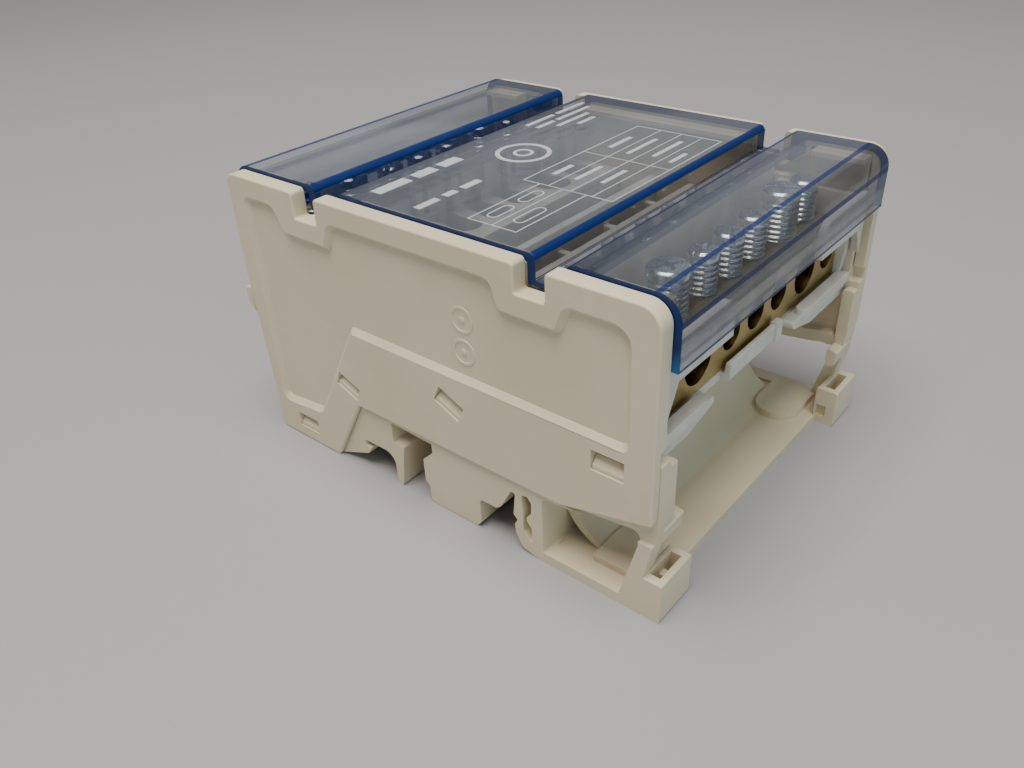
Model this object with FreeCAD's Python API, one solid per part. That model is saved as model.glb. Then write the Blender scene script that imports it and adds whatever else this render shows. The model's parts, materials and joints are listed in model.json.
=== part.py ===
import FreeCAD, Part
import math
import os
from FreeCAD import Vector

# DIN rail distribution terminal block: four stepped brass bars between two end cheeks,
# seven clamping screws on each bar, clear covers above, and a clip-on foot for a 35 mm rail.
# Frame: millimetres, +Z up, +X towards the front wire side, Y along the rail.
# Origin: centre of the block's footprint, on the plane that its feet stand on.

# ---- driving dimensions ----
MODULE = 17.8                  # one rail module
MODULES = 4
WIDTH = MODULE * MODULES       # over the two cheeks, along the rail
CHEEK_HALF = 42.8              # cheek half length, along X
CHEEK_TOP = 51.5
SKIN = 1.6                     # cheek skin
RIM = 2.7                      # cheek thickness at its rim
RIM_BAND = 1.7
FACE_ROUND = 0.35              # rounding round the outer face
PANEL_DEPTH = 1.0              # shallow panel in the cheek's outer face
PANEL_SLOPE = 0.9              # sloped shoulder round the panel
NOTCH_IN, NOTCH_OUT, NOTCH_FLOOR = 20.1, 25.3, 47.1
COVER_TOP = 52.1
COVER_HALF = WIDTH / 2 - RIM - 0.2     # half length of the covers, between the cheek rims
END_HALF = 44.5                # half length over the rear bumps and the front feet
SHEET = 1.4                    # cover wall
COVER_FRONT = 43.9
COVER_LIP = 41.7               # lower edge of the hinged covers
PIVOT_Z = 49.2
PIN_R, PIN_BORE_R = 1.0, 1.05
BOSS_R = 2.1                   # boss round each pin bore in the cheek
# front cover for side 1, rear cover for side -1, both measured outwards from the middle
PIVOT_X = {1: 28.2, -1: 27.2}
COVER_INNER = {1: 26.6, -1: 23.0}
LEG_LOW = {1: 48.3, -1: 47.7}
CENTRE_COVER = (-17.6, 21.7)
RAIL_SEAT = 6.3                # rail flange seat above the feet
RAIL_MID = 0.4                 # middle of the 35 mm rail
RAIL_HALF = 17.5
DECK_LOW, DECK_TOP = 13.2, 15.5
FLOOR_T = 1.4
WALL_OUT = WIDTH / 2 - SKIN - 0.05     # end wall's outer face, behind the cheek skin
WALL_LOW_OUT = WIDTH / 2 - 0.83        # the same face below the cheek
WALL_IN = 31.6
WALL_TOP = 44.2
JAMB_IN = 30.0
FRONT_POST = (41.0, 43.0)      # upright at the front of each end wall, along X
FRONT_POST_IN = 29.8
FRONT_POST_TOP = 26.5
PLATE_OUT = 32.6               # upright plates above the end wall, just under the clear covers
PLATE_TOP = 50.2
BAR_DEEP, BAR_HIGH, BAR_HALF = 11.5, 11.0, 30.0
OUTER_BAR = (32.65, 28.5)      # middle along X, underside
INNER_BAR = (14.35, DECK_TOP)
HOLE_UP = 5.7                  # wire hole's axis above the bar's underside
SMALL_WIRE_R, LARGE_WIRE_R = 2.65, 3.75
SMALL_SCREW_R, LARGE_SCREW_R = 2.45, 3.15
THREAD_GAP = 0.05
THREAD_PITCH, THREAD_DEPTH = 0.9, 0.32
SCREW_LONG = 9.6
SCREW_REST = 0.1               # screw tip above the wire hole when fully open
DRIVER_GAP = 0.55              # driver shaft over the screw, on the radius
# wire positions along a bar: a large hole beside the last small one at each end
STATIONS = [(-26.2, False), (-17.4, True), (-7.75, False), (0.0, False),
            (7.75, False), (17.4, True), (26.2, False)]
BACK_WALL = 23.2               # inner face of the wall behind the front wire space
WHITE_HALF = 31.45             # half length of the white insulating pieces
SHELF_LOW = 27.0               # underside of the outer bar's shelf
BARRIER_TOP = 47.2
POST_TOP = 43.8
GUARD_LOW, GUARD_TOP = 38.2, 44.4
GUARD_OUT, GUARD_END = 41.9, 14.6
GUIDE_TOP = 39.0               # top of the driver shafts over the inner bars
COMB_TOP = 46.4                # slotted wall beside them
COMB_PITCH, COMB_SLOT = 3.0, 1.3   # slots in the comb wall
LUG_LOW, LUG_TOP = 25.3, 29.4   # underside clears the wires of the inner bar
LUG_ENDS = {-1: 18.4, 1: 13.5}         # nose of each lug, near and far
PLATE_IN = 29.3                # inner edge of the flange along each plate's top

OUT = "parts"


# ---- small helpers ----
def outline(corners):
    """Closed wire in the XZ plane from (x, z) or (x, z, radius) corners."""
    edges = []
    ends = []
    count = len(corners)
    for i in range(count):
        x, z = corners[i][:2]
        here = Vector(x, 0, z)
        radius = corners[i][2] if len(corners[i]) > 2 else 0
        if radius == 0:
            ends.append((here, here, None))
            continue
        before = Vector(corners[i - 1][0], 0, corners[i - 1][1]) - here
        after = Vector(corners[(i + 1) % count][0], 0, corners[(i + 1) % count][1]) - here
        before.normalize()
        after.normalize()
        half = before.getAngle(after) / 2
        reach = radius / math.tan(half)
        middle = before + after
        middle.normalize()
        centre = here + middle * (radius / math.sin(half))
        ends.append((here + before * reach, here + after * reach, centre - middle * radius))
    for i in range(count):
        start, stop, bulge = ends[i]
        if bulge is not None:
            edges.append(Part.Arc(start, bulge, stop).toShape())
        following = ends[(i + 1) % count][0]
        if stop.distanceToPoint(following) > 1e-6:
            edges.append(Part.makeLine(stop, following))
    return Part.Wire(edges)


def prism(corners, y_low, y_high):
    face = Part.Face(outline(corners))
    face.translate(Vector(0, y_low, 0))
    return face.extrude(Vector(0, y_high - y_low, 0))


def block(x, y, z):
    return Part.makeBox(x[1] - x[0], y[1] - y[0], z[1] - z[0], Vector(x[0], y[0], z[0]))


def profile_x(corners, x_low, x_high):
    """Plate between x_low and x_high from (y, z) corners."""
    plate = prism(corners, -x_high, -x_low)
    plate.rotate(Vector(0, 0, 0), Vector(0, 0, 1), 90)
    return plate


def rod_y(x, z, radius, y_low, y_high):
    return Part.makeCylinder(radius, y_high - y_low, Vector(x, y_low, z), Vector(0, 1, 0))


def rod_x(y, z, radius, x_low, x_high):
    return Part.makeCylinder(radius, x_high - x_low, Vector(x_low, y, z), Vector(1, 0, 0))


def rod_z(x, y, radius, z_low, z_high):
    return Part.makeCylinder(radius, z_high - z_low, Vector(x, y, z_low))


def joined(pieces):
    return pieces[0].multiFuse(pieces[1:]).removeSplitter() if len(pieces) > 1 else pieces[0]


def flip_x(shape):
    return shape.mirror(Vector(0, 0, 0), Vector(1, 0, 0))


def flip_y(shape):
    return shape.mirror(Vector(0, 0, 0), Vector(0, 1, 0))


def save(name, shape):
    if not shape.isValid() or shape.Volume <= 0:
        raise ValueError(name + " is not a sound solid")
    shape.exportStep(os.path.join(OUT, name + ".step"))
    print(name, len(shape.Solids), "solid", round(shape.Volume, 1), "mm3")


# ---- end cheeks ----
CHEEK_CORNERS = [
    (-41.1, 0, 0.6), (-42.3, 24), (-CHEEK_HALF, 30), (-CHEEK_HALF, CHEEK_TOP, 2.2),
    (-NOTCH_OUT, CHEEK_TOP, 0.7), (-NOTCH_OUT, NOTCH_FLOOR, 0.4),
    (-NOTCH_IN, NOTCH_FLOOR, 0.4), (-NOTCH_IN, CHEEK_TOP, 0.7),
    (NOTCH_IN, CHEEK_TOP, 0.7), (NOTCH_IN, NOTCH_FLOOR, 0.4),
    (NOTCH_OUT, NOTCH_FLOOR, 0.4), (NOTCH_OUT, CHEEK_TOP, 0.7),
    (CHEEK_HALF, CHEEK_TOP, 3.2), (CHEEK_HALF, 18.2, 0.5), (34.5, 16.1, 6), (27.0, 14.3, 12),
    (-16.6, 14.2, 0.8), (-24.0, 1.4, 1.0), (-24.8, 0, 0.5),
]

PANEL_CORNERS = [
    (-38.1, 47.2, 0.8), (-31.6, 47.3, 1.8), (-29.6, 43.0, 2.0), (-18.4, 43.0, 1.4),
    (-17.0, 47.2, 1.2), (15.2, 47.2, 1.2), (16.4, 42.9, 2.0), (27.4, 42.9, 1.6),
    (28.9, 46.9, 1.2), (37.9, 46.9, 2.2), (38.0, 29.6, 0.8), (-16.2, 29.9, 1.4),
    (-28.2, 9.0, 1.4), (-38.3, 7.9, 0.8),
]

# clip windows: centre x, z, length, height, tilt in degrees
CLIPS = [(-18.7, 17.6, 5.3, 2.8, 22), (5.8, 23.7, 5.5, 3.2, 25),
         (35.45, 25.4, 5.5, 3.4, 0), (-32.7, 3.9, 5.5, 3.0, 0)]


def clip_slot(clip, y_low, y_high):
    x, z, long, high, tilt = clip
    slot = block((-long / 2, long / 2), (y_low, y_high), (-high / 2, high / 2))
    slot.rotate(Vector(0, 0, 0), Vector(0, 1, 0), tilt)
    slot.translate(Vector(x, 0, z))
    return slot


def clip_tab(clip):
    """Wedge on the end wall that snaps into the lower half of a clip window."""
    x, z, long, high, tilt = clip
    face_y = -WIDTH / 2
    low = 0.15 - high / 2
    middle = 0.1 * high
    wedge = profile_x([(-WALL_OUT + 1.4, low), (face_y + 0.3, low), (face_y + 0.3, low + 0.5),
                       (face_y + 1.3, middle), (-WALL_OUT + 1.4, middle)],
                      0.15 - long / 2, long / 2 - 0.15)
    wedge.rotate(Vector(0, 0, 0), Vector(0, 1, 0), tilt)
    wedge.translate(Vector(x, 0, z))
    return wedge


def mould_rings(y_face):
    """Plain pair of raised rings in the shallow panel, each round a raised dot."""
    x, outer, inner, dot = 9.2, 2.2, 1.75, 0.55
    low, high = y_face - 0.15, y_face + 0.2
    rings = []
    for z in (33.8, 39.2):
        rings.append(rod_y(x, z, outer, low, high).cut(rod_y(x, z, inner, low - 1, high + 1)))
        rings.append(rod_y(x, z, dot, low, high))
    return rings


def cheek():
    """Near end cheek; the far one is its mirror image."""
    face_y = -WIDTH / 2
    skin = prism(CHEEK_CORNERS, face_y, face_y + SKIN)
    full = prism(CHEEK_CORNERS, face_y, face_y + RIM)
    inner = Part.Face(outline(CHEEK_CORNERS)).makeOffset2D(-RIM_BAND)
    inner.translate(Vector(0, face_y - 1, 0))
    rim = full.cut(inner.extrude(Vector(0, RIM + 2, 0)))
    rim = rim.common(block((-50, 50), (face_y, face_y + RIM), (30, 60)))
    pivots = [side * PIVOT_X[side] for side in (-1, 1)]
    bosses = [rod_y(x, PIVOT_Z, BOSS_R, face_y + 1, face_y + RIM).common(full) for x in pivots]
    body = joined([skin, rim] + bosses)
    face_edges = [e for e in body.Edges
                  if abs(e.BoundBox.YMin - face_y) < 1e-4 and abs(e.BoundBox.YMax - face_y) < 1e-4]
    body = body.makeFillet(FACE_ROUND, face_edges)
    body = body.cut(prism(PANEL_CORNERS, face_y - 1, face_y + PANEL_DEPTH))
    shoulder = []
    for edge in body.Edges:
        box = edge.BoundBox
        on_face = box.YMax < face_y + 1e-4
        if on_face and box.XMin > -39 and box.XMax < 39 and 7 < box.ZMin and box.ZMax < 48:
            shoulder.append(edge)
    body = body.makeChamfer(PANEL_SLOPE, shoulder)
    for clip in CLIPS:
        body = body.cut(clip_slot(clip, face_y - 1, face_y + SKIN + 1))
    for x in pivots:
        body = body.cut(rod_y(x, PIVOT_Z, PIN_BORE_R, face_y + 1.1, face_y + RIM + 1))
    return joined([body] + mould_rings(face_y + PANEL_DEPTH))


# ---- base frame ----
def rail_section():
    """Clip-on foot along the whole width: fixed hook, post, centre block, sprung jaw, deck."""
    hook_x = RAIL_MID - RAIL_HALF - 0.3
    jaw_x = RAIL_MID + RAIL_HALF + 0.3
    return [
        (-41.1, 0, 0.8), (-25.1, 0), (-16.9, 3.4, 0.6), (-15.9, 4.9, 0.3), (hook_x, 5.0),
        (hook_x, RAIL_SEAT), (-12.6, RAIL_SEAT), (-9.8, RAIL_SEAT, 2.4), (-9.7, 0.1, 0.3),
        (-8.4, 0.1, 0.3), (-7.1, 9.0, 0.3), (-9.6, 9.0), (-9.6, DECK_LOW, 0.4),
        (0, DECK_LOW, 0.4), (0, 10.9), (-2.4, 8.7, 0.3), (-2.4, 4.2, 0.4), (-1.5, 3.4),
        (-1.4, 0.1, 0.5), (9.3, 0.1, 0.9), (10.2, 1.4), (10.2, RAIL_SEAT, 0.8),
        (13.7, RAIL_SEAT, 0.5), (14.7, 7.0, 0.4), (17.0, 11.3, 0.3), (17.9, 11.3, 0.3),
        (17.4, 6.9), (jaw_x, 6.1, 0.2), (17.6, 5.0), (17.7, 3.4, 1.2), (19.0, 0.7, 1.5),
        (22.5, 0, 2.0), (41.5, 0, 0.3), (41.5, FLOOR_T, 0.4), (BACK_WALL, FLOOR_T + 0.1, 0.5),
        (BACK_WALL, DECK_TOP, 0.4), (-BACK_WALL, DECK_TOP, 3.0), (-28.5, 5.5, 6.0),
        (-41.4, 1.9, 0.6),
    ]


def jaw_slot():
    """Closed slot that lets the jaw flex."""
    return [(19.1, 11.6, 0.4), (20.3, 11.9, 0.5), (21.1, 10.9, 0.5), (21.0, 8.6, 0.6),
            (20.1, 7.6, 0.3), (20.1, 6.8, 0.3), (21.0, 5.7, 0.5), (21.2, 2.8, 0.2),
            (20.4, 3.0, 0.4), (19.3, 4.4, 0.6), (19.4, 7.9, 1.0)]


def guide_ramp():
    """Curved sheet that leads a wire from the floor up to the inner bar."""
    low, high = (34.5, FLOOR_T - 0.3), (BACK_WALL - 0.2, DECK_TOP)
    outer = Part.Arc(Vector(low[0], 0, low[1]), Vector(27.2, 0, 4.4), Vector(high[0] + 1.0, 0, high[1]))
    inner = Part.Arc(Vector(high[0] - 0.2, 0, high[1]), Vector(26.3, 0, 3.4), Vector(low[0] - 1.8, 0, low[1]))
    edges = [outer.toShape(), Part.makeLine(outer.EndPoint, inner.StartPoint),
             inner.toShape(), Part.makeLine(inner.EndPoint, outer.StartPoint)]
    face = Part.Face(Part.Wire(edges))
    face.translate(Vector(0, -JAMB_IN + 1.4, 0))
    return face.extrude(Vector(0, 2 * JAMB_IN - 2.8, 0))


END_WALL_CORNERS = [
    (-40.9, 1.0), (-40.9, WALL_TOP, 1.2), (40.9, WALL_TOP, 1.2), (40.9, FRONT_POST_TOP + 1.2, 0.3),
    (43.0, FRONT_POST_TOP + 1.2, 0.3), (43.0, 17.2, 0.6), (42.6, 13.2, 1.5), (41.2, 7.0, 1.0),
    (41.0, 1.0), (22.0, 1.0), (22.0, 12.0), (-9.6, DECK_LOW), (-9.6, 9.0), (-16.0, 7.0),
    (-24.5, 1.0),
]

WINDOW_CORNERS = [(BACK_WALL, 1.9, 0.3), (37.4, 1.9, 0.3), (41.0, 15.4, 1.6), (37.0, 14.6, 4.0),
                  (BACK_WALL, 12.9, 0.8)]


def foot_box():
    """Box foot with the pocket that takes a release tool."""
    body = prism([(40.6, 0, 0.3), (END_HALF, 0, 0.4), (END_HALF, 7.4, 0.4), (40.6, 7.4, 0.3)],
                 -WALL_LOW_OUT, -26.3)
    pocket = block((41.7, 43.5), (-33.3, -27.5), (2.0, 9))
    step = block((41.7, 43.5), (-30.6, -29.2), (2.0, 5.2))
    dimple = block((41.0, 42.8), (-27.0, -25), (1.6, 3.9))
    return body.cut(pocket).cut(dimple).fuse(step)


def tongue():
    """Round-nosed raised pad on the floor, inside each end window."""
    radius = 4.2
    x, y = 34.4, -24.3
    pad = rod_z(x, y, radius, FLOOR_T - 0.2, 2.9)
    return pad.fuse(block((x - radius, x + radius), (-JAMB_IN - 1, y), (FLOOR_T - 0.2, 2.9)))


def cheek_space():
    """Room taken by the near cheek, outside the end wall."""
    return prism([(-60, -5), (-24.68, -5), (-24.68, 0), (-23.88, 1.4), (-16.5, 14.1), (60, 14.1),
                  (60, 60), (-60, 60)], -WIDTH, -WALL_OUT)


def end_wall():
    """Near end wall with its window, clip tabs, post and rear bump; mirrored for the far end."""
    wall = prism(END_WALL_CORNERS, -WALL_OUT, -WALL_IN)
    below_deck = block((-60, 60), (-WALL_LOW_OUT, -WALL_IN), (-1, DECK_LOW + 0.6))
    lower = prism(END_WALL_CORNERS, -WALL_LOW_OUT, -WALL_IN).common(below_deck).cut(cheek_space())
    jamb = prism([(21.6, 1.0), (BACK_WALL + 0.6, 1.0), (BACK_WALL + 0.6, DECK_LOW), (21.6, DECK_LOW)],
                 -WALL_IN - 0.5, -JAMB_IN)
    lintel = prism([(22.0, 12.0), (40.9, 15.0), (40.9, 17.4, 1.0), (22.0, 15.2)],
                   -WALL_IN - 0.5, -JAMB_IN)
    rear_bump = prism([(-40.0, 29.7), (-END_HALF, 29.5, 0.4), (-END_HALF, 26.0, 0.5),
                       (-42.2, 24.3), (-40.0, 24.3)], -WALL_OUT, -WALL_IN)
    body = joined([wall, lower, jamb, lintel, rear_bump] + front_post() + cover_plates())
    body = body.cut(prism(WINDOW_CORNERS, -40, -25))
    for clip in CLIPS:
        body = body.cut(clip_slot(clip, -WALL_OUT - 1, -WALL_OUT + 1.3)).fuse(clip_tab(clip))
    return body


def front_post():
    """Upright at the front of the end wall, with the small snap block near its foot."""
    back, front = FRONT_POST
    post = prism([(back, 13.6), (front - 0.4, 14.0), (front, 17.2, 0.6), (front, FRONT_POST_TOP, 0.3),
                  (back, FRONT_POST_TOP, 0.3)], -WALL_IN - 0.5, -FRONT_POST_IN)
    snap = prism([(back, 12.2, 0.3), (front - 0.4, 12.6, 0.4), (front, 15.4, 0.4), (back, 15.8, 0.3)],
                 -WALL_IN - 0.5, -26.8)
    return [post, snap]


def cover_plates():
    """Upright flanged plates on the end wall that stand just under the clear covers."""
    plates = []
    for x_low, x_high in ((-40.9, -32.6), (-15.9, 20.0), (31.8, 40.9)):
        plates.append(profile_x([(-PLATE_OUT, WALL_TOP - 1.5), (-PLATE_OUT, PLATE_TOP),
                                 (-PLATE_IN, PLATE_TOP), (-PLATE_IN, PLATE_TOP - 0.8),
                                 (-WALL_IN, PLATE_TOP - 1.2), (-WALL_IN, WALL_TOP - 1.5)],
                                x_low, x_high))
    return plates


def rear_foot_cells():
    """Open moulding cells under the rear foot, between ribs."""
    cells = []
    cell_long = 8.4
    pitch = 9.9
    for x_low, x_high, top in ((-39.4, -34.6, 1.2), (-33.2, -26.6, 3.2)):
        for i in range(6):
            middle = (i - 2.5) * pitch
            cells.append(block((x_low, x_high), (middle - cell_long / 2, middle + cell_long / 2),
                               (-1, top)))
    return cells


def base_frame():
    section = prism(rail_section(), -WALL_LOW_OUT, WALL_LOW_OUT)
    section = section.cut(cheek_space()).cut(flip_y(cheek_space()))
    section = section.cut(prism(jaw_slot(), -WIDTH, WIDTH))
    front_open = block((41.0, 60), (-26.3, 26.3), (-1, 10))
    ends = []
    for make in (end_wall, foot_box, tongue):
        near = make()
        ends += [near, flip_y(near)]
    body = joined([section.cut(front_open), guide_ramp()] + ends)
    for cell in rear_foot_cells():
        body = body.cut(cell)
    return body.removeSplitter()


# ---- white insulating pieces ----
def carrier(barrier_x):
    """Front carrier: shelf for the outer bar, barrier wall, end posts, guards, lugs and lip."""
    bar_low = OUTER_BAR[1]
    floor = block((barrier_x[0], 38.1), (-WHITE_HALF, WHITE_HALF), (SHELF_LOW, bar_low))
    barrier = block(barrier_x, (-WHITE_HALF, WHITE_HALF), (SHELF_LOW, BARRIER_TOP))
    pieces = [floor, barrier] + middle_lip()
    for side in (-1, 1):
        post = prism([(25.6, SHELF_LOW), (39.2, SHELF_LOW), (40.6, GUARD_LOW), (GUARD_OUT, GUARD_LOW + 0.2),
                      (GUARD_OUT, POST_TOP, 0.8), (25.6, POST_TOP, 0.8)],
                     -WHITE_HALF, -BAR_HALF - 0.1)
        gusset = profile_x([(-WHITE_HALF, 33.2), (-28.9, GUARD_LOW + 0.3), (-WHITE_HALF, GUARD_LOW + 0.3)],
                           GUARD_OUT - 1.2, GUARD_OUT)
        for piece in [post, gusset, guard_plate()] + lug(LUG_ENDS[side]):
            pieces.append(piece if side < 0 else flip_y(piece))
    return joined(pieces)


def middle_lip():
    """Thin lip in front of the bar, under its small holes, with a stop block at the far end."""
    lip = prism([(37.5, 27.2), (39.7, 27.2, 0.4), (39.7, 30.2, 0.3), (38.8, 30.2, 0.3), (38.8, 28.2),
                 (37.5, 28.2)], -9.5, 5.2)
    stop = prism([(37.5, 27.2), (40.1, 27.2, 0.4), (40.1, 30.6, 0.4), (38.8, 30.6, 0.3), (38.8, 28.2),
                  (37.5, 28.2)], 5.0, 6.8)
    return [lip, stop]


def lug(nose_y):
    """Near lug beside the shelf: round-nosed finger on a plate whose lower corner is cut away."""
    half = 1.0
    middle = 40.0
    finger = block((middle - half, middle + half), (-WHITE_HALF, -nose_y - half), (27.6, LUG_TOP))
    nose = rod_z(middle, -nose_y - half, half, 27.6, LUG_TOP)
    plate = profile_x([(-WHITE_HALF, LUG_LOW), (-WHITE_HALF, 28.2), (-nose_y + 3.4, 28.2, 0.6),
                       (-nose_y + 2.6, 26.9, 0.7), (-nose_y - 4.0, LUG_LOW, 3.0)], 37.5, 40.4)
    return [finger, nose, plate]


def guard_plate():
    """Upright plate behind the cover's lower edge, with one large rounded corner."""
    thick = 1.2
    corner = 2.2
    plate = block((GUARD_OUT - thick, GUARD_OUT), (-WHITE_HALF, -GUARD_END), (GUARD_LOW, GUARD_TOP))
    sharp = [e for e in plate.Edges
             if e.BoundBox.XLength > thick - 0.1 and e.CenterOfMass.y > -GUARD_END - 0.1
             and e.CenterOfMass.z > GUARD_TOP - 0.1]
    return plate.makeFillet(corner, sharp)


def screw_guide():
    """Comb of driver shafts above the inner bar, with a taller slotted wall on one side."""
    low = INNER_BAR[1] + BAR_HIGH
    body = block((8.0, 20.8), (-WHITE_HALF, WHITE_HALF), (low, GUIDE_TOP))
    body = body.fuse(block((19.4, 20.8), (-WHITE_HALF, WHITE_HALF), (low, COMB_TOP))).removeSplitter()
    for i in range(19):
        y = (i - 9) * COMB_PITCH
        body = body.cut(block((19, 22), (y - COMB_SLOT / 2, y + COMB_SLOT / 2), (COMB_TOP - 5, 50)))
    for y, large in STATIONS:
        radius = (LARGE_SCREW_R if large else SMALL_SCREW_R) + DRIVER_GAP
        body = body.cut(rod_z(INNER_BAR[0], y, radius, low - 1, 50))
        body = body.cut(block((INNER_BAR[0], 25), (y - radius + 0.7, y + radius - 0.7), (29.0, 50)))
    return body


def centre_partition():
    """Ribbed wall between the two inner bars."""
    wall = block((-0.8, 0.8), (-WHITE_HALF, WHITE_HALF), (DECK_TOP, GUIDE_TOP))
    ribs = []
    for i in range(5):
        y = (i - 2) * 14.0
        ribs.append(block((-6.6, 6.6), (y - 0.7, y + 0.7), (DECK_TOP, GUIDE_TOP - 4)))
    return joined([wall] + ribs)


# ---- brass bars and screws ----
def bar(place, side):
    """Brass bar with cross holes for the wires and tapped holes for the screws."""
    x, low = place[0] * side, place[1]
    half = BAR_DEEP / 2
    body = block((x - half, x + half), (-BAR_HALF, BAR_HALF), (low, low + BAR_HIGH))
    long_edges = [e for e in body.Edges if e.BoundBox.YLength > 2 * BAR_HALF - 1]
    body = body.makeChamfer(0.5, long_edges)
    for y, large in STATIONS:
        wire = LARGE_WIRE_R if large else SMALL_WIRE_R
        screw = (LARGE_SCREW_R if large else SMALL_SCREW_R) + THREAD_GAP
        body = body.cut(rod_x(y, low + HOLE_UP, wire, x - half - 1, x + half + 1))
        body = body.cut(rod_z(x, y, screw, low + HOLE_UP, low + BAR_HIGH + 1))
    return body


def clamp_screw(radius):
    """Headless clamping screw, tip at z = 0, with turned thread rings and a combination drive."""
    root = radius - THREAD_DEPTH
    points = [Vector(0, 0, 0), Vector(radius - 0.9, 0, 0), Vector(root, 0, 0.5)]
    z = 0.7
    while z + THREAD_PITCH < SCREW_LONG - 1.6:
        points += [Vector(root, 0, z), Vector(radius, 0, z + 0.35),
                   Vector(radius, 0, z + 0.5), Vector(root, 0, z + 0.8)]
        z += THREAD_PITCH
    points += [Vector(radius, 0, SCREW_LONG - 1.5), Vector(radius, 0, SCREW_LONG - 0.4),
               Vector(radius - 0.4, 0, SCREW_LONG), Vector(0, 0, SCREW_LONG), Vector(0, 0, 0)]
    body = Part.Face(Part.makePolygon(points)).revolve(Vector(0, 0, 0), Vector(0, 0, 1), 360)
    top = SCREW_LONG + 1
    slot = block((-5, 5), (-0.45, 0.45), (SCREW_LONG - 1.3, top))
    arm = radius * 0.62
    cross = block((-0.4, 0.4), (-arm, arm), (SCREW_LONG - 1.9, top))
    cross_two = block((-arm, arm), (-0.4, 0.4), (SCREW_LONG - 1.9, top))
    return body.cut(slot).cut(cross).cut(cross_two)


def placed_screw(place, side, index):
    y, large = STATIONS[index]
    radius = LARGE_SCREW_R if large else SMALL_SCREW_R
    wire = LARGE_WIRE_R if large else SMALL_WIRE_R
    body = clamp_screw(radius)
    body.rotate(Vector(0, 0, 0), Vector(0, 0, 1), 20 + 37 * index * side)
    body.translate(Vector(place[0] * side, y, place[1] + HOLE_UP + wire + SCREW_REST))
    return body


# ---- clear covers ----
def hinged_cover(side):
    """Front cover for side 1, rear cover for side -1, both drawn towards +X and then flipped."""
    inner_x = COVER_INNER[side]
    pivot_x = PIVOT_X[side]
    shell = prism([
        (inner_x, LEG_LOW[side]), (inner_x, COVER_TOP, 1.4), (COVER_FRONT, COVER_TOP, 3.6),
        (COVER_FRONT, COVER_LIP, 0.3), (COVER_FRONT - SHEET, COVER_LIP, 0.3),
        (COVER_FRONT - SHEET, COVER_TOP - SHEET, 2.2),
        (inner_x + SHEET, COVER_TOP - SHEET, 0.4), (inner_x + SHEET, LEG_LOW[side])],
        -COVER_HALF, COVER_HALF)
    pieces = [shell]
    for end in (-1, 1):
        inner, outer = 29.2 * end, COVER_HALF * end
        knuckle = rod_y(pivot_x, PIVOT_Z, 1.35, min(inner, outer), max(inner, outer))
        web = block((pivot_x - 1.0, pivot_x + 1.0), (min(inner, outer), max(inner, outer)),
                    (PIVOT_Z, COVER_TOP - SHEET + 0.1))
        tip = (COVER_HALF + 1.45) * end
        pin = rod_y(pivot_x, PIVOT_Z, PIN_R, min(inner, tip), max(inner, tip))
        pieces += [knuckle, web, pin]
    body = joined(pieces)
    return body if side > 0 else flip_x(body)


def centre_cover():
    """Lift-off cover over the inner bars, with a foot flange in each trough."""
    left, right = CENTRE_COVER
    foot = 0.8
    low = 47.4
    return prism([
        (right, low + foot), (right, COVER_TOP, 1.2), (left, COVER_TOP, 1.2), (left, low + foot),
        (-22.2, low + foot), (-22.2, low), (left + SHEET, low), (left + SHEET, COVER_TOP - SHEET, 0.5),
        (right - SHEET, COVER_TOP - SHEET, 0.5), (right - SHEET, low), (24.9, low), (24.9, low + foot)],
        -COVER_HALF, COVER_HALF)


def main():
    os.makedirs(OUT, exist_ok=True)
    near = cheek()
    save("near_cheek", near)
    save("far_cheek", flip_y(near))
    save("base_frame", base_frame())
    save("front_carrier", carrier((23.6, 24.8)))
    save("rear_carrier", flip_x(carrier((21.0, 22.2))))
    guide = screw_guide()
    save("front_screw_guide", guide)
    save("rear_screw_guide", flip_x(guide))
    save("centre_partition", centre_partition())
    save("front_cover", hinged_cover(1))
    save("rear_cover", hinged_cover(-1))
    save("centre_cover", centre_cover())
    rows = [("front_outer", OUTER_BAR, 1), ("front_inner", INNER_BAR, 1),
            ("rear_inner", INNER_BAR, -1), ("rear_outer", OUTER_BAR, -1)]
    for row, place, side in rows:
        save("bar_" + row, bar(place, side))
        for index in range(len(STATIONS)):
            save("screw_%s_%d" % (row, index + 1), placed_screw(place, side, index))


main()
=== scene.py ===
import json
import math

import bmesh
import bpy
from mathutils import Matrix, Vector


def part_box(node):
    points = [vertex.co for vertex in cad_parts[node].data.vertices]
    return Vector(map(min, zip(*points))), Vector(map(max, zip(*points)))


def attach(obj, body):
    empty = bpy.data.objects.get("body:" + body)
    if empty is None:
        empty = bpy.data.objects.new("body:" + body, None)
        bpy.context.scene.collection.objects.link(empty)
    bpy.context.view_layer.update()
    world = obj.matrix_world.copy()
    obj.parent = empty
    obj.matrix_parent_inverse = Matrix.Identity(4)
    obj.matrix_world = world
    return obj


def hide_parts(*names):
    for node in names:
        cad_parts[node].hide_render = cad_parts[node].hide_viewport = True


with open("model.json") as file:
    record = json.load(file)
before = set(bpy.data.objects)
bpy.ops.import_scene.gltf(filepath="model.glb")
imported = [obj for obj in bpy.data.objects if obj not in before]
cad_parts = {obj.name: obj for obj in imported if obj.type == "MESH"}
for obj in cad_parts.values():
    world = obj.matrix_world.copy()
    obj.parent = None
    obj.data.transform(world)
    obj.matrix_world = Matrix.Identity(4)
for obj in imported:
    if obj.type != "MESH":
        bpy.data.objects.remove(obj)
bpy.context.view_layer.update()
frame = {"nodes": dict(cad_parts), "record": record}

# DIN rail terminal block: looks only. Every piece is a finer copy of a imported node, or detail
# placed from the node it sits on. Metres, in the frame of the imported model.

MM = 0.001

ROWS = ("front_outer", "front_inner", "rear_inner", "rear_outer")
SCREWS = ["screw_%s_%d" % (row, n) for row in ROWS for n in range(1, 8)]
CLEAR_TINT = (0.72, 0.725, 0.74)

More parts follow.
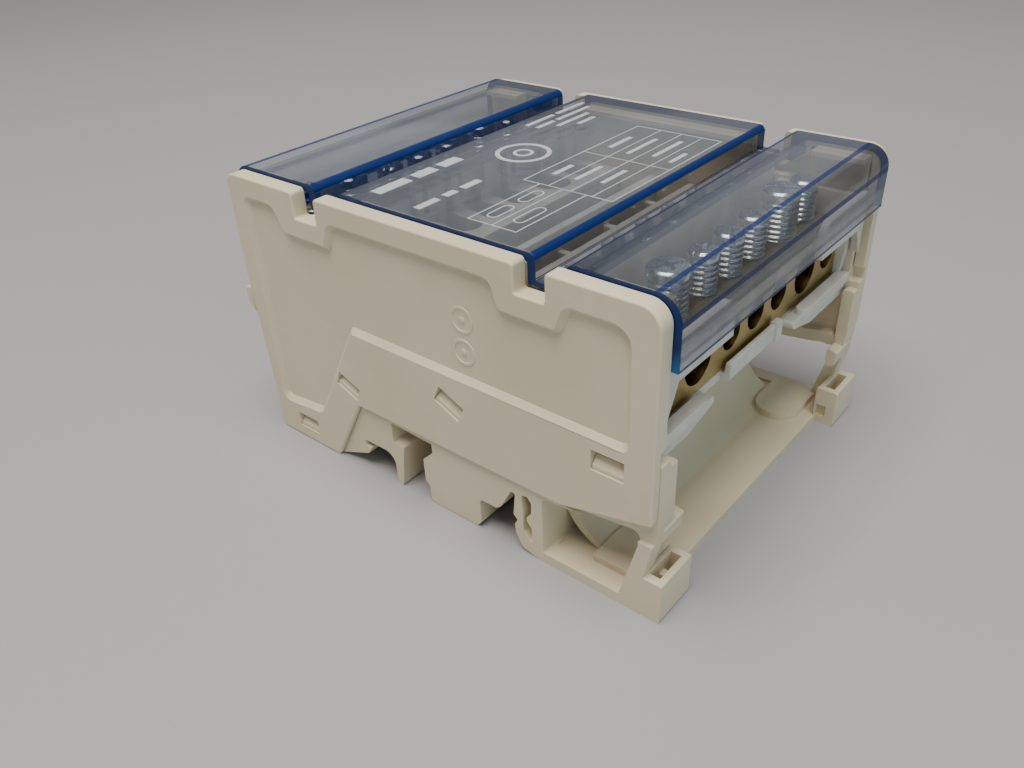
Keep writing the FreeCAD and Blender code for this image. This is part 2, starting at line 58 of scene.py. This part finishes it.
# clear covers; their blue bend lines, blue rims and ends turning lighter at the bottom are painted
# glow
SHEET = 1.4 * MM               # thickness of the sheet
LARGE_BEND = 3.6 * MM          # radius of a hinged cover's bend over the wires
BEND_LINE = 0.25 * MM          # half width of the blue line where that bend starts and stops
BEND_LINE_FADE = 0.6 * MM      # the line has gone this far out
RIM = 0.45 * MM                # height of the blue rim round a hinged cover's lowest edge
RIM_FADE = 0.7 * MM
FOOT = 4 * MM                  # height over which a cover's ends turn lighter at the bottom

# the cheeks' outer faces: y of their shallow panels, and of the grained face round them
PANEL_Y = 34.9 * MM
FACE_Y = 35.4 * MM

# brass bars: a hole's wall counts as inside, and gets painted shade, from this far below the bar's
# faces
BORE_START = 0.55 * MM
BORE_FULL = 0.75 * MM

# widths that sharp edges are rounded over by
HOUSING_EDGE = 0.22 * MM
WHITE_EDGE = 0.2 * MM
BAR_EDGE = 0.08 * MM
SCREW_EDGE = 0.05 * MM
COVER_EDGE = 0.12 * MM
SHARP = math.radians(28)       # an edge that turns by more than this is sharp
FLAT = math.radians(0.5)       # faces that turn by less than this are joined into one
MERGE = 0.002 * MM             # corners closer than this are one corner

# rear bumps, outer part
BUMP_OUTER = 0.2 * MM          # from the cheek's outer face in to the bump's outer side
BUMP_INNER = 1.75 * MM         # and to its inner side
BUMP_GAP = 0.12 * MM           # between the cheek's rear edge and the bump
BUMP_AT_CHEEK = (24.6 * MM, 29.7 * MM)     # bottom and top beside the cheek
BUMP_AT_BACK = (26.0 * MM, 29.5 * MM)      # bottom and top at its back


# ---- node graphs ----
class Graph:
    """A short way to build one material's nodes."""

    def __init__(self, name):
        self.material = bpy.data.materials.new(name)
        self.material.use_nodes = True
        self.tree = self.material.node_tree
        self.shader = self.tree.nodes["Principled BSDF"]
        self.point = self.add("ShaderNodeTexCoord").outputs["Object"]

    def add(self, kind, **settings):
        node = self.tree.nodes.new(kind)
        for name, value in settings.items():
            setattr(node, name, value)
        return node

    def feed(self, socket, value):
        """Sets a socket to a value, or links it when the value is another node's output."""
        if isinstance(value, bpy.types.NodeSocket):
            self.tree.links.new(value, socket)
        else:
            socket.default_value = value

    def math(self, operation, first, second=0.0, third=0.0):
        node = self.add("ShaderNodeMath", operation=operation)
        for socket, value in zip(node.inputs, (first, second, third)):
            self.feed(socket, value)
        return node.outputs[0]

    def ramp(self, value, low, high, start=0.0, stop=1.0):
        """Value taken smoothly from start at low to stop at high, and held outside."""
        node = self.add("ShaderNodeMapRange", interpolation_type="SMOOTHSTEP")
        for socket, number in zip(node.inputs, (value, low, high, start, stop)):
            self.feed(socket, number)
        return node.outputs[0]

    def split(self, vector):
        node = self.add("ShaderNodeSeparateXYZ")
        self.feed(node.inputs[0], vector)
        return node.outputs

    def noise(self, size, detail=3.0, stretch=(1, 1, 1)):
        """Noise whose cells are about size long, in metres, and longer by stretch."""
        mapping = self.add("ShaderNodeMapping")
        self.feed(mapping.inputs["Vector"], self.point)
        mapping.inputs["Scale"].default_value = [1 / (size * s) for s in stretch]
        node = self.add("ShaderNodeTexNoise")
        self.feed(node.inputs["Vector"], mapping.outputs[0])
        node.inputs["Scale"].default_value = 1.0
        node.inputs["Detail"].default_value = detail
        return node.outputs["Fac"]

    def blend(self, share, first, second):
        """Colour between first and second."""
        node = self.add("ShaderNodeMix", data_type="RGBA")
        self.feed(node.inputs[0], share)
        for socket, colour in zip((node.inputs[6], node.inputs[7]), (first, second)):
            linked = isinstance(colour, bpy.types.NodeSocket)
            self.feed(socket, colour if linked else (*colour, 1.0))
        return node.outputs[2]

    def bump(self, heights, distance):
        """Bump from a list of (height, strength), one over the other."""
        normal = None
        for height, strength in heights:
            node = self.add("ShaderNodeBump")
            node.inputs["Strength"].default_value = strength
            node.inputs["Distance"].default_value = distance
            self.feed(node.inputs["Height"], height)
            if normal is not None:
                self.feed(node.inputs["Normal"], normal)
            normal = node.outputs[0]
        self.feed(self.shader.inputs["Normal"], normal)

    def set(self, **sockets):
        """Feeds the main shader: set(Base_Color=..., Roughness=...)."""
        for name, value in sockets.items():
            self.feed(self.shader.inputs[name.replace("_", " ")], value)


# ---- materials ----
def housing_plastic():
    """Warm light grey moulded plastic: fine spark-eroded grain, smoother in the shallow panels."""
    g = Graph("housing_plastic")
    drift = g.noise(22 * MM, detail=2)
    flow = g.noise(1.6 * MM, detail=4, stretch=(3, 3, 1))
    speck = g.noise(0.28 * MM, detail=2)
    colour = g.blend(g.ramp(drift, 0.35, 0.65), (0.675, 0.585, 0.41), (0.725, 0.635, 0.46))
    colour = g.blend(g.ramp(flow, 0.5, 0.8, 0, 0.15), colour, (0.76, 0.69, 0.57))
    colour = g.blend(g.ramp(speck, 0.68, 0.76, 0, 0.25), colour, (0.50, 0.43, 0.33))
    depth = g.math("ABSOLUTE", g.split(g.point)[1])
    grain = g.ramp(depth, PANEL_Y, FACE_Y, 0.4, 1.0)
    rough = g.math("ADD", g.ramp(speck, 0.3, 0.7, 0.34, 0.50), g.math("MULTIPLY", grain, 0.08))
    g.set(Base_Color=colour, Roughness=rough)
    g.shader.inputs["Subsurface Weight"].default_value = 0.06
    g.shader.inputs["Subsurface Radius"].default_value = (1.0, 0.75, 0.5)
    g.shader.inputs["Subsurface Scale"].default_value = 0.8 * MM
    g.bump([(g.noise(0.16 * MM, detail=3), 0.22), (flow, 0.05)], 0.05 * MM)
    return g.material


def white_plastic():
    """Natural white nylon, a little translucent, with faint flow lines."""
    g = Graph("white_plastic")
    cloud = g.noise(5 * MM, detail=3)
    grain = g.noise(0.3 * MM, detail=3)
    colour = g.blend(g.ramp(cloud, 0.35, 0.7), (0.62, 0.595, 0.525), (0.72, 0.695, 0.62))
    g.set(Base_Color=colour, Roughness=g.ramp(grain, 0.3, 0.7, 0.34, 0.46))
    g.shader.inputs["Subsurface Weight"].default_value = 0.35
    g.shader.inputs["Subsurface Radius"].default_value = (1.0, 0.95, 0.85)
    g.shader.inputs["Subsurface Scale"].default_value = 1.6 * MM
    g.bump([(grain, 0.15), (cloud, 0.2)], 0.06 * MM)
    return g.material


def brass(name, node):
    """Drawn brass: fine lines along the bar; tool rings and painted shade, darker orange-brown,
    inside its holes.
    """
    low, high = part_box(node)
    g = Graph(name)
    lines = g.noise(0.12 * MM, detail=4, stretch=(1, 90, 1))
    cloud = g.noise(3.5 * MM, detail=4)
    x, y, z = g.split(g.point)
    inside = g.math("MINIMUM", g.math("SUBTRACT", x, low.x), g.math("SUBTRACT", high.x, x))
    inside = g.math("MINIMUM", inside, g.math("SUBTRACT", z, low.z))
    inside = g.math("MINIMUM", inside, g.math("SUBTRACT", high.z, z))
    inside = g.ramp(inside, BORE_START, BORE_FULL)
    skin = g.blend(g.ramp(cloud, 0.3, 0.7), (0.31, 0.23, 0.07), (0.40, 0.31, 0.105))
    skin = g.blend(g.ramp(lines, 0.35, 0.75, 0, 0.35), skin, (0.56, 0.48, 0.24))
    # painted shade: the holes' walls are coloured a darker, redder brown
    bore_shade = g.blend(g.ramp(cloud, 0.3, 0.7), (0.17, 0.075, 0.025), (0.27, 0.13, 0.045))
    rings = g.add("ShaderNodeTexWave", bands_direction="X")
    g.feed(rings.inputs["Vector"], g.point)
    rings.inputs["Scale"].default_value = 0.5 / MM
    rough = g.ramp(g.math("ADD", lines, g.math("MULTIPLY", cloud, 0.5)), 0.4, 1.1, 0.24, 0.42)
    g.set(Base_Color=g.blend(inside, skin, bore_shade), Metallic=1.0, Roughness=rough)
    tooling = g.math("MULTIPLY", rings.outputs["Fac"], inside)
    g.bump([(lines, 0.25), (tooling, 0.5)], 0.04 * MM)
    return g.material


def zinc_steel():
    """Bright zinc plate on steel, bluish, with faint turning marks."""
    g = Graph("zinc_steel")
    cloud = g.noise(1.4 * MM, detail=4)
    fine = g.noise(0.15 * MM, detail=3)
    colour = g.blend(g.ramp(cloud, 0.3, 0.7), (0.68, 0.74, 0.79), (0.86, 0.90, 0.93))
    g.set(Base_Color=colour, Metallic=1.0, Roughness=g.ramp(fine, 0.3, 0.75, 0.17, 0.34))
    g.bump([(fine, 0.2)], 0.03 * MM)
    return g.material


def print_white():
    """Thin white pad print, a little patchy."""
    g = Graph("print_white")
    patch = g.noise(0.25 * MM, detail=3)
    colour = g.blend(g.ramp(patch, 0.3, 0.7), (0.86, 0.87, 0.88), (0.95, 0.96, 0.97))
    g.set(Base_Color=colour, Roughness=0.5)
    g.bump([(patch, 0.2)], 0.02 * MM)
    return g.material


def cover_zones(g, node, bend):
    """Shares, 0 to 1, of the parts of a clear cover.

    ends are the sheet's two end faces, edges its bends and rims, and lips the undersides low
    down. On a hinged cover, wall is the upright face over the wires, leg the upright part at
    the hinge, and foot the lowest part. bend is the radius of the large bend over the wires,
    or 0 on the centre cover, which has none.
    """
    low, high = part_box(node)
    tall, wide = high.z - low.z, high.x - low.x
    outward = high.x if high.x > -low.x else low.x
    x, y, z = g.split(g.point)
    nx, ny, nz = g.split(g.add("ShaderNodeTexCoord").outputs["Normal"])
    across, upward = g.math("ABSOLUTE", nx), g.math("ABSOLUTE", nz)
    reach = g.math("ABSOLUTE", g.math("SUBTRACT", x, outward))
    drop = g.math("SUBTRACT", high.z, z)
    zones = dict.fromkeys(("wall", "leg", "foot"), 0.0)
    zones["ends"] = g.ramp(g.math("ABSOLUTE", ny), 0.6, 0.9)
    zones["edges"] = g.ramp(g.math("MULTIPLY", across, upward), 0.10, 0.35)
    zones["lips"] = g.math("MULTIPLY", g.ramp(g.math("MULTIPLY", nz, -1.0), 0.6, 0.9),
                           g.ramp(drop, 2 * SHEET, 3 * SHEET))
    if bend:
        upright = g.ramp(across, 0.8, 1.0)
        small_bends = g.math("MULTIPLY", zones["edges"], g.ramp(reach, bend, 1.1 * bend))
        on_top = g.math("MAXIMUM", g.math("ABSOLUTE", g.math("SUBTRACT", reach, bend)), drop)
        on_side = g.math("MAXIMUM", g.math("ABSOLUTE", g.math("SUBTRACT", drop, bend)), reach)
        nearest = g.math("MINIMUM", on_top, on_side)
        # painted glow masks: blue lines where the large bend starts and stops, a blue rim along the
        # lowest edge, and the foot where the ends turn lighter
        bend_lines = g.ramp(nearest, BEND_LINE, BEND_LINE_FADE, 0.72, 0.0)
        rim = g.ramp(drop, tall - RIM_FADE, tall - RIM, 0.0, 0.8)
        rim = g.math("MULTIPLY", rim, across)
        zones["edges"] = g.math("MAXIMUM", small_bends, g.math("MAXIMUM", bend_lines, rim))
        zones["wall"] = g.math("MULTIPLY", upright, g.ramp(drop, 1.5 * bend, 2 * bend))
        zones["leg"] = g.math("MULTIPLY", upright, g.ramp(reach, wide - 2 * SHEET, wide - SHEET))
        zones["foot"] = g.ramp(drop, tall, tall - FOOT, 1.0, 0.0)
    return zones


def clear_plastic(name, node, bend):
    """Clear cover with a blue tint, deep blue where seen edge-on: the tint along the sheet plus
    painted glow.

    bend is the radius of its large bend over the wires, or 0 where it has none.
    """
    g = Graph(name)
    zones = cover_zones(g, node, bend)
    haze = g.noise(9 * MM, detail=3)
    scratch = g.noise(0.12 * MM, detail=2, stretch=(1, 30, 1))
    # end faces, bends, rims and lips turn deep blue: the tint seen along the sheet, plus painted
    # glow of light carried along it
    edge_tint_and_glow = g.math("MAXIMUM", zones["ends"], g.math("MULTIPLY", zones["edges"], 0.9))
    edge_tint_and_glow = g.math("MAXIMUM", edge_tint_and_glow, g.math("MULTIPLY", zones["lips"], 0.5))
    tint_and_glow_share = g.ramp(edge_tint_and_glow, 0.05, 0.4)

    tint = g.blend(g.ramp(haze, 0.3, 0.7), CLEAR_TINT, [c + 0.03 for c in CLEAR_TINT])
    clear = g.add("ShaderNodeBsdfTransparent")
    g.feed(clear.inputs[0], g.blend(edge_tint_and_glow, tint, (0.07, 0.13, 0.42)))

    # painted glow: the end faces turn lighter blue towards the foot
    end_glow = g.blend(zones["foot"], (0.010, 0.030, 0.125), (0.03, 0.15, 0.36))
    blue = g.blend(zones["ends"], (0.008, 0.027, 0.14), end_glow)
    bare = g.blend(zones["wall"], (0.80, 0.86, 0.95), (0.42, 0.41, 0.42))
    bare = g.blend(zones["leg"], bare, (0.05, 0.09, 0.24))
    dull = g.math("MAXIMUM", g.math("MAXIMUM", tint_and_glow_share, zones["wall"]), zones["leg"])
    rough = g.math("MULTIPLY_ADD", edge_tint_and_glow, 0.3, g.ramp(scratch, 0.55, 0.85, 0.05, 0.11))
    g.set(Base_Color=g.blend(tint_and_glow_share, bare, blue), Roughness=rough,
          Metallic=g.math("MULTIPLY", g.math("SUBTRACT", 1.0, dull), 0.7))
    g.shader.inputs["Specular IOR Level"].default_value = 0.22

    facing = g.add("ShaderNodeLayerWeight")
    facing.inputs["Blend"].default_value = 0.5
    mirror = g.math("POWER", facing.outputs["Facing"], 5.0)
    mirror = g.math("MULTIPLY_ADD", mirror, 0.9, g.ramp(scratch, 0.6, 0.9, 0.030, 0.055))
    veil = g.math("MULTIPLY", zones["wall"], g.ramp(haze, 0.3, 0.7, 0.36, 0.50))
    veil = g.math("MAXIMUM", veil, g.math("MULTIPLY", zones["leg"], 0.5))
    solid = g.math("MAXIMUM", g.math("MAXIMUM", mirror, veil), g.math("MULTIPLY", edge_tint_and_glow, 0.92))
    mixed = g.add("ShaderNodeMixShader")
    g.feed(mixed.inputs[0], solid)
    g.feed(mixed.inputs[1], clear.outputs[0])
    g.feed(mixed.inputs[2], g.shader.outputs[0])
    g.feed(g.tree.nodes["Material Output"].inputs["Surface"], mixed.outputs[0])
    g.bump([(haze, 0.06)], 0.05 * MM)
    return g.material


# ---- pieces ----
def body_of(node):
    bodies = frame["record"]["behaviour"]["bodies"]
    return next(name for name, nodes in bodies.items() if node in nodes)


def place(piece, node, material, replace=True):
    """Puts a piece in the scene on the node's body, with its material, and hides the node if
    replace is set.
    """
    if piece.name not in bpy.context.scene.collection.all_objects:
        bpy.context.scene.collection.objects.link(piece)
    piece.data.materials.clear()
    piece.data.materials.append(material)
    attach(piece, body_of(node))
    if replace:
        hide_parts(node)
    return piece


def soften(piece, width):
    """Rounds a piece's sharp edges over by width and keeps its flat faces flat."""
    bevel = piece.modifiers.new("soft_edges", "BEVEL")
    bevel.width = width
    bevel.segments = 2
    bevel.limit_method = "ANGLE"
    bevel.angle_limit = SHARP
    bevel.use_clamp_overlap = True
    bevel.miter_outer = "MITER_ARC"
    flat = piece.modifiers.new("flat_faces", "WEIGHTED_NORMAL")
    flat.weight = 100
    flat.thresh = 0.01


def finer(node, material, width):
    """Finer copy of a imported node, with its sharp edges rounded over by width."""
    mesh = frame["nodes"][node].data.copy()
    work = bmesh.new()
    work.from_mesh(mesh)
    bmesh.ops.remove_doubles(work, verts=work.verts, dist=MERGE)
    bmesh.ops.dissolve_limit(work, angle_limit=FLAT, verts=work.verts, edges=work.edges)
    work.to_mesh(mesh)
    work.free()
    mesh.shade_smooth()
    piece = bpy.data.objects.new("fine_" + node, mesh)
    place(piece, node, material)
    soften(piece, width)


# ---- rear bumps ----
def rear_bump(side):
    """Outer part of a rear bump, which wraps the edge of the near (-1) or far (1) cheek."""
    frame_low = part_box("base_frame")[0]
    low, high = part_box("near_cheek" if side < 0 else "far_cheek")
    face = max(abs(low.y), abs(high.y))
    outer, inner = side * (face - BUMP_OUTER), side * (face - BUMP_INNER)
    back, front = frame_low.x, low.x - BUMP_GAP
    corners = [(front, BUMP_AT_CHEEK[1]), (back, BUMP_AT_BACK[1]),
               (back, BUMP_AT_BACK[0]), (front, BUMP_AT_CHEEK[0])]
    mesh = bmesh.new()
    caps = [[mesh.verts.new((x, y, z)) for x, z in corners] for y in (inner, outer)]
    mesh.faces.new(caps[0])
    mesh.faces.new(reversed(caps[1]))
    for i in range(4):
        mesh.faces.new((caps[0][i - 1], caps[1][i - 1], caps[1][i], caps[0][i]))
    bmesh.ops.recalc_face_normals(mesh, faces=mesh.faces)
    data = bpy.data.meshes.new("rear_bump")
    mesh.to_mesh(data)
    mesh.free()
    data.shade_smooth()
    return bpy.data.objects.new("rear_bump_near" if side < 0 else "rear_bump_far", data)


# ---- print just inside the centre cover's top, in millimetres ----
def slab(mesh, x, y, z):
    """Box between two x, two y and two z values, in millimetres."""
    middle = Vector((sum(x) / 2, sum(y) / 2, sum(z) / 2)) * MM
    size = Vector((x[1] - x[0], y[1] - y[0], z[1] - z[0])) * MM
    matrix = Matrix.Translation(middle) @ Matrix.Diagonal((*size, 1))
    bmesh.ops.create_cube(mesh, size=1.0, matrix=matrix)


def band(mesh, points, width, z):
    """Flat line of a given width round a closed run of (x, y) points, with mitred corners."""
    count = len(points)
    spots = [Vector(point) for point in points]
    loops = []
    for i, spot in enumerate(spots):
        before = (spot - spots[i - 1]).normalized()
        after = (spots[(i + 1) % count] - spot).normalized()
        along = (before + after).normalized()
        side = Vector((-along.y, along.x)) * width / 2 / along.dot(after)
        left, right = spot - side, spot + side
        edges = ((left, z[0]), (right, z[0]), (right, z[1]), (left, z[1]))
        loops.append([mesh.verts.new(Vector((*edge, height)) * MM) for edge, height in edges])
    for i, loop in enumerate(loops):
        ahead = loops[(i + 1) % count]
        for j in range(4):
            mesh.faces.new((loop[j - 1], loop[j], ahead[j], ahead[j - 1]))


def arc(x, y, radius, start, stop, steps):
    """Points round part of a circle, angles in degrees."""
    turns = [math.radians(start + (stop - start) * i / steps) for i in range(steps + 1)]
    return [(x + radius * math.cos(t), y + radius * math.sin(t)) for t in turns]


def ring(x, y, radius, count):
    """Points all the way round a circle."""
    return arc(x, y, radius, 0, 360 - 360 / count, count - 1)


def capsule(x, y_low, y_high, radius):
    """Points round a slot shape that runs along y."""
    return arc(x, y_high - radius, radius, 0, 180, 8) + arc(x, y_low + radius, radius, 180, 360, 8)


# bars, frames and rules: x from, x to, y from, y to
PRINT_BARS = [
    (-13.7, -11.4, -29.0, -22.0), (-13.7, -11.4, -20.5, -16.0), (-13.7, -11.4, -14.5, -10.0),
    (-3.4, -2.0, -30.0, -25.5), (-3.4, -2.0, -24.0, -21.5), (-3.4, -2.0, -20.0, -16.0),
    (-14.6, -13.7, 10.0, 18.0), (-14.6, -13.7, 19.0, 27.5), (-12.2, -11.3, 10.0, 15.0),
    (-12.2, -11.3, 16.0, 26.0), (-9.8, -8.9, 13.0, 22.5), (-7.4, -6.5, 16.0, 21.0),
    (5.0, 5.9, -7.5, -2.5), (5.0, 5.9, 8.0, 14.5), (9.3, 10.1, -7.5, -0.5),
    (9.3, 10.1, 7.0, 16.0), (13.6, 14.4, -6.5, 0.0), (13.6, 14.4, 8.0, 17.0),
    (17.4, 18.2, 7.0, 12.0)]
PRINT_FRAMES = [(6.2, 15.0, -28.5, -12.0), (3.0, 19.6, -12.0, 20.5)]
PRINT_RULES = [(10.6, 10.6, -28.5, -12.0), (7.8, 7.8, -12.0, 20.5), (12.0, 12.0, -12.0, 20.5),
               (16.0, 16.0, -12.0, 20.5), (3.0, 19.6, 4.0, 4.0)]
PRINT_CAPSULES = [(8.4, -26.4, -21.4), (8.4, -19.4, -14.4), (12.8, -25.8, -19.5)]  # x, y, y
PRINT_RINGS = [(4.4, 0.8, 48), (1.5, 0.6, 24)]         # radius, width of line, points
RING_CENTRE = (-5.2, -2.0)
CAPSULE_RADIUS = 0.9
CAPSULE_LINE = 0.22            # widths of lines
FRAME_LINE = 0.2
RULE_HALF = 0.09               # half the width of a rule
RULE_THICK = 0.02
PRINT_TOP = 0.05               # depths below the cover's top
PRINT_BOTTOM = 0.12
PRINT_STEP = 0.01              # lines that meet lie this far apart in height


def cover_print():
    """Plain marks inside the centre cover, just under its top skin, which spell nothing."""
    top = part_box("centre_cover")[1].z / MM
    z = (top - PRINT_BOTTOM, top - PRINT_TOP)
    mesh = bmesh.new()
    for x_low, x_high, y_low, y_high in PRINT_BARS:
        slab(mesh, (x_low, x_high), (y_low, y_high), z)
    for i, (x_low, x_high, y_low, y_high) in enumerate(PRINT_FRAMES):
        corners = [(x_low, y_low), (x_high, y_low), (x_high, y_high), (x_low, y_high)]
        band(mesh, corners, FRAME_LINE, (z[0] + PRINT_STEP * i, z[1] - PRINT_STEP * i))
    for x_low, x_high, y_low, y_high in PRINT_RULES:
        level = z[1] - PRINT_STEP * (2 if x_low == x_high else 3)
        slab(mesh, (x_low - RULE_HALF, x_high + RULE_HALF),
             (y_low - RULE_HALF, y_high + RULE_HALF), (level - RULE_THICK, level))
    for x, y_low, y_high in PRINT_CAPSULES:
        band(mesh, capsule(x, y_low, y_high, CAPSULE_RADIUS), CAPSULE_LINE, z)
    for radius, width, count in PRINT_RINGS:
        band(mesh, ring(*RING_CENTRE, radius, count), width, z)
    bmesh.ops.recalc_face_normals(mesh, faces=mesh.faces)
    data = bpy.data.meshes.new("cover_print")
    mesh.to_mesh(data)
    mesh.free()
    piece = bpy.data.objects.new("cover_print", data)
    bpy.context.scene.collection.objects.link(piece)
    data.materials.append(print_white())
    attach(piece, body_of("centre_cover"))


# ---- scene ----
CAMERA_SPOT = (88.77, -114.91, 100.82)     # millimetres
CAMERA_TURN = (57.07, 2.40, 39.72)         # degrees about x, y and z
CAMERA_LENS = 31.30                        # on a sensor 36 mm wide
LAMP_AIM = (0, 0, 0.02)                    # all lamps face this point, inside the block
FLOOR_HALF = 3.0


def camera():
    data = bpy.data.cameras.new("camera")
    view = bpy.data.objects.new("camera", data)
    bpy.context.scene.collection.objects.link(view)
    view.location = Vector(CAMERA_SPOT) * MM
    view.rotation_euler = [math.radians(turn) for turn in CAMERA_TURN]
    data.sensor_width = 36.0
    data.lens = CAMERA_LENS
    data.clip_start = 5 * MM
    data.clip_end = 20.0
    bpy.context.scene.camera = view


def floor():
    mesh = bpy.data.meshes.new("floor")
    corners = [(x * FLOOR_HALF, y * FLOOR_HALF, 0) for x, y in ((-1, -1), (1, -1), (1, 1), (-1, 1))]
    mesh.from_pydata(corners, [], [(0, 1, 2, 3)])
    ground = bpy.data.objects.new("floor", mesh)
    bpy.context.scene.collection.objects.link(ground)
    g = Graph("floor")
    fleck = g.noise(0.7 * MM, detail=2)
    fleck = g.ramp(fleck, 0.66, 0.76, 0, 0.12)
    colour = g.blend(fleck, (0.37, 0.365, 0.375), (0.29, 0.285, 0.295))
    g.set(Base_Color=colour, Roughness=0.55)
    mesh.materials.append(g.material)


def lamp(name, spot, size, power, colour):
    data = bpy.data.lights.new(name, "AREA")
    data.shape = "RECTANGLE"
    data.size, data.size_y = size
    data.energy = power
    data.color = colour
    light = bpy.data.objects.new(name, data)
    light.location = spot
    light.rotation_mode = "QUATERNION"
    light.rotation_quaternion = (Vector(LAMP_AIM) - Vector(spot)).to_track_quat("-Z", "Y")
    bpy.context.scene.collection.objects.link(light)


def lights():
    world = bpy.data.worlds.new("room")
    world.use_nodes = True
    world.node_tree.nodes["Background"].inputs["Color"].default_value = (0.60, 0.635, 0.67, 1)
    world.node_tree.nodes["Background"].inputs["Strength"].default_value = 0.29
    bpy.context.scene.world = world
    lamp("key", (0.02, -0.19, 0.87), (0.60, 0.60), 11.8, (1.0, 0.95, 0.875))
    lamp("fill", (-0.5, -0.7, 0.5), (0.6, 0.6), 0.3, (1.0, 0.94, 0.86))
    lamp("side", (0.8, -0.2, 0.35), (0.6, 0.5), 1.85, (0.62, 0.91, 1.0))
    lamp("back", (-0.55, 0.65, 0.50), (0.9, 0.4), 0.5, (0.95, 0.97, 1.0))


def build():
    housing = housing_plastic()
    white = white_plastic()
    zinc = zinc_steel()
    for node in ("base_frame", "near_cheek", "far_cheek"):
        finer(node, housing, HOUSING_EDGE)
    for side in (-1, 1):
        bump = rear_bump(side)
        place(bump, "base_frame", housing, replace=False)
        soften(bump, HOUSING_EDGE)
    for node in ("front_carrier", "rear_carrier", "front_screw_guide", "rear_screw_guide",
                 "centre_partition"):
        finer(node, white, WHITE_EDGE)
    for row in ROWS:
        node = "bar_" + row
        finer(node, brass("brass_" + row, node), BAR_EDGE)
    for node in SCREWS:
        finer(node, zinc, SCREW_EDGE)
    bends = {"front_cover": LARGE_BEND, "rear_cover": LARGE_BEND, "centre_cover": 0}
    for node, bend in bends.items():
        finer(node, clear_plastic("clear_" + node, node, bend), COVER_EDGE)
    cover_print()
    camera()
    floor()
    lights()


build()
bpy.context.view_layer.update()
